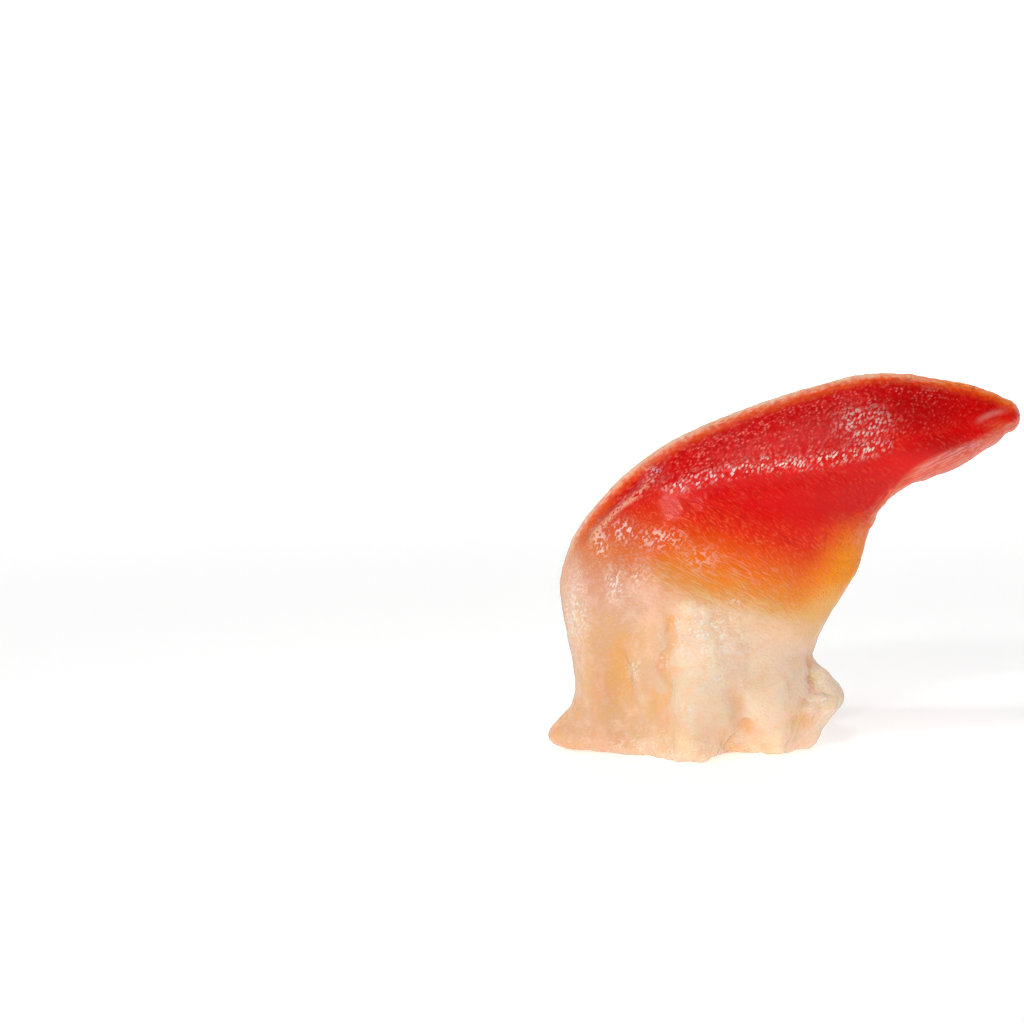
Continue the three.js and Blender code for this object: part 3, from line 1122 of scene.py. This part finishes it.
foot.data.materials.clear()
foot.data.materials.append(flesh)
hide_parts(NODE)
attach(foot, "root")
print("flesh has", len(flesh.node_tree.nodes), "nodes")

# %% [markdown]
# ## Light and floor
#
# The photograph is bright all round: white behind, white below, and light coming down from above. The wet
# skin mirrors whatever stands in front of it, so a bright room would lay a grey film over the red. Only
# the air and the floor behind the foot are bright. Small lamps in front give sharp glints instead.

# %% Lay the floor
FLOOR_REACH = 30  # metres
FLOOR_WHITE = (0.92, 0.92, 0.92, 1)
FLOOR_ROUGHNESS = 0.7
FLOOR_GLOW = (0.46, 1.05)  # beside the foot and far from it
GLOW_GROWS = (0.12, 0.6)  # metres from the foot
FRONT_SHARE = 0.1  # what is left of the glow in front of the foot
FRONT_TO_BACK = (-0.4, -0.02)  # Y, in metres
FAR_FRONT = (-0.7, -1.6)
FAR_FRONT_GLOW = 0.6  # white again behind the camera, where other views look


def make_floor():
    """A wide pale sheet under the foot, with a glow of its own."""
    bm = bmesh.new()
    bmesh.ops.create_grid(bm, x_segments=1, y_segments=1, size=FLOOR_REACH)
    mesh = bpy.data.meshes.new("floor")
    bm.to_mesh(mesh)
    bm.free()
    floor = bpy.data.objects.new("floor", mesh)
    bpy.context.scene.collection.objects.link(floor)
    floor.data.materials.append(floor_paint())
    print("floor laid,", FLOOR_REACH * 2, "m wide")


def floor_paint():
    """White that glows more with the distance from the foot, and little in front of it."""
    paint = bpy.data.materials.new("pale_floor")
    paint.use_nodes = True
    matt = paint.node_tree.nodes["Principled BSDF"]
    matt.inputs["Base Color"].default_value = FLOOR_WHITE
    matt.inputs["Roughness"].default_value = FLOOR_ROUGHNESS
    matt.inputs["Emission Strength"].default_value = 1
    sheet = Flow(paint.node_tree)
    place = sheet.node("ShaderNodeTexCoord", out=3)
    away = sheet.node("ShaderNodeVectorMath", {"operation": "LENGTH"}, out=1, _0=place)
    behind = sheet.node("ShaderNodeSeparateXYZ", out=1, Vector=place)
    glow = away.soft(*GLOW_GROWS).between(*FLOOR_GLOW)
    glow = glow * behind.soft(*FRONT_TO_BACK).between(FRONT_SHARE, 1.0)
    glow = glow + behind.soft(*FAR_FRONT) * FAR_FRONT_GLOW
    sheet.node("ShaderNodeCombineXYZ", _0=glow, _1=glow, _2=glow).into(matt, "Emission Color")
    return paint


make_floor()

# %% Fill the room with air
ROOM_FRONT = 0.06
ROOM_BACK = 1.0
ROOM_TURNS = (-0.3, 0.6)  # where the air brightens, from the front, -1, to the back, 1
ROOM_TOP = (0.85, 0.45)  # where it darkens again, as the height of a direction


def make_room():
    """Air that is bright behind the foot, dim in front of it and dark overhead."""
    world = bpy.data.worlds.new("white_room")
    world.use_nodes = True
    air = Flow(world.node_tree)
    direction = air.node("ShaderNodeTexCoord", out=0)
    back = air.node("ShaderNodeSeparateXYZ", out=1, Vector=direction).soft(*ROOM_TURNS)
    low = air.node("ShaderNodeSeparateXYZ", out=2, Vector=direction).soft(*ROOM_TOP)
    background = world.node_tree.nodes["Background"]
    background.inputs["Color"].default_value = (1, 1, 1, 1)
    (back * low).between(ROOM_FRONT, ROOM_BACK).into(background, "Strength")
    bpy.context.scene.world = world
    print("air from", ROOM_FRONT, "to", ROOM_BACK)


make_room()

# %% Light the studio
AIM = (0, 0, 0.03)
SOFTBOXES = [
    # what it does, its place, its size, its power, its beam in degrees, and if the wet skin mirrors it
    ("key_light", (-0.15, -0.28, 0.45), (0.10, 0.10), 0.30, 180, True),
    ("fill_light", (0.16, -0.44, 0.22), (0.30, 0.30), 0.15, 180, False),
    ("rim_light", (0.06, 0.38, 0.46), (0.30, 0.20), 0.3, 180, True),
    ("top_glint", (-0.17, -0.23, 0.50), (0.03, 0.03), 0.055, 70, True),
    ("front_glint", (-0.10, -0.42, 0.31), (0.03, 0.03), 0.075, 70, True),
    ("side_glint", (-0.46, -0.24, 0.16), (0.08, 0.08), 0.025, 70, True),
    ("low_glint", (-0.22, -0.44, 0.09), (0.025, 0.025), 0.07, 70, True),
]


def make_softbox(name, place, size, power, spread, mirrored):
    """A lamp with a soft face, turned to the foot."""
    data = bpy.data.lights.new(name, "AREA")
    data.shape = "RECTANGLE"
    data.size, data.size_y = size
    data.energy = power
    data.spread = math.radians(spread)
    light = bpy.data.objects.new(name, data)
    bpy.context.scene.collection.objects.link(light)
    light.location = place
    light.visible_camera = False
    light.visible_glossy = mirrored
    light.rotation_euler = (Vector(AIM) - Vector(place)).to_track_quat("-Z", "Y").to_euler()


for row in SOFTBOXES:
    make_softbox(*row)
bpy.context.scene.view_settings.view_transform = "Standard"
print(len(SOFTBOXES), "lamps lit")
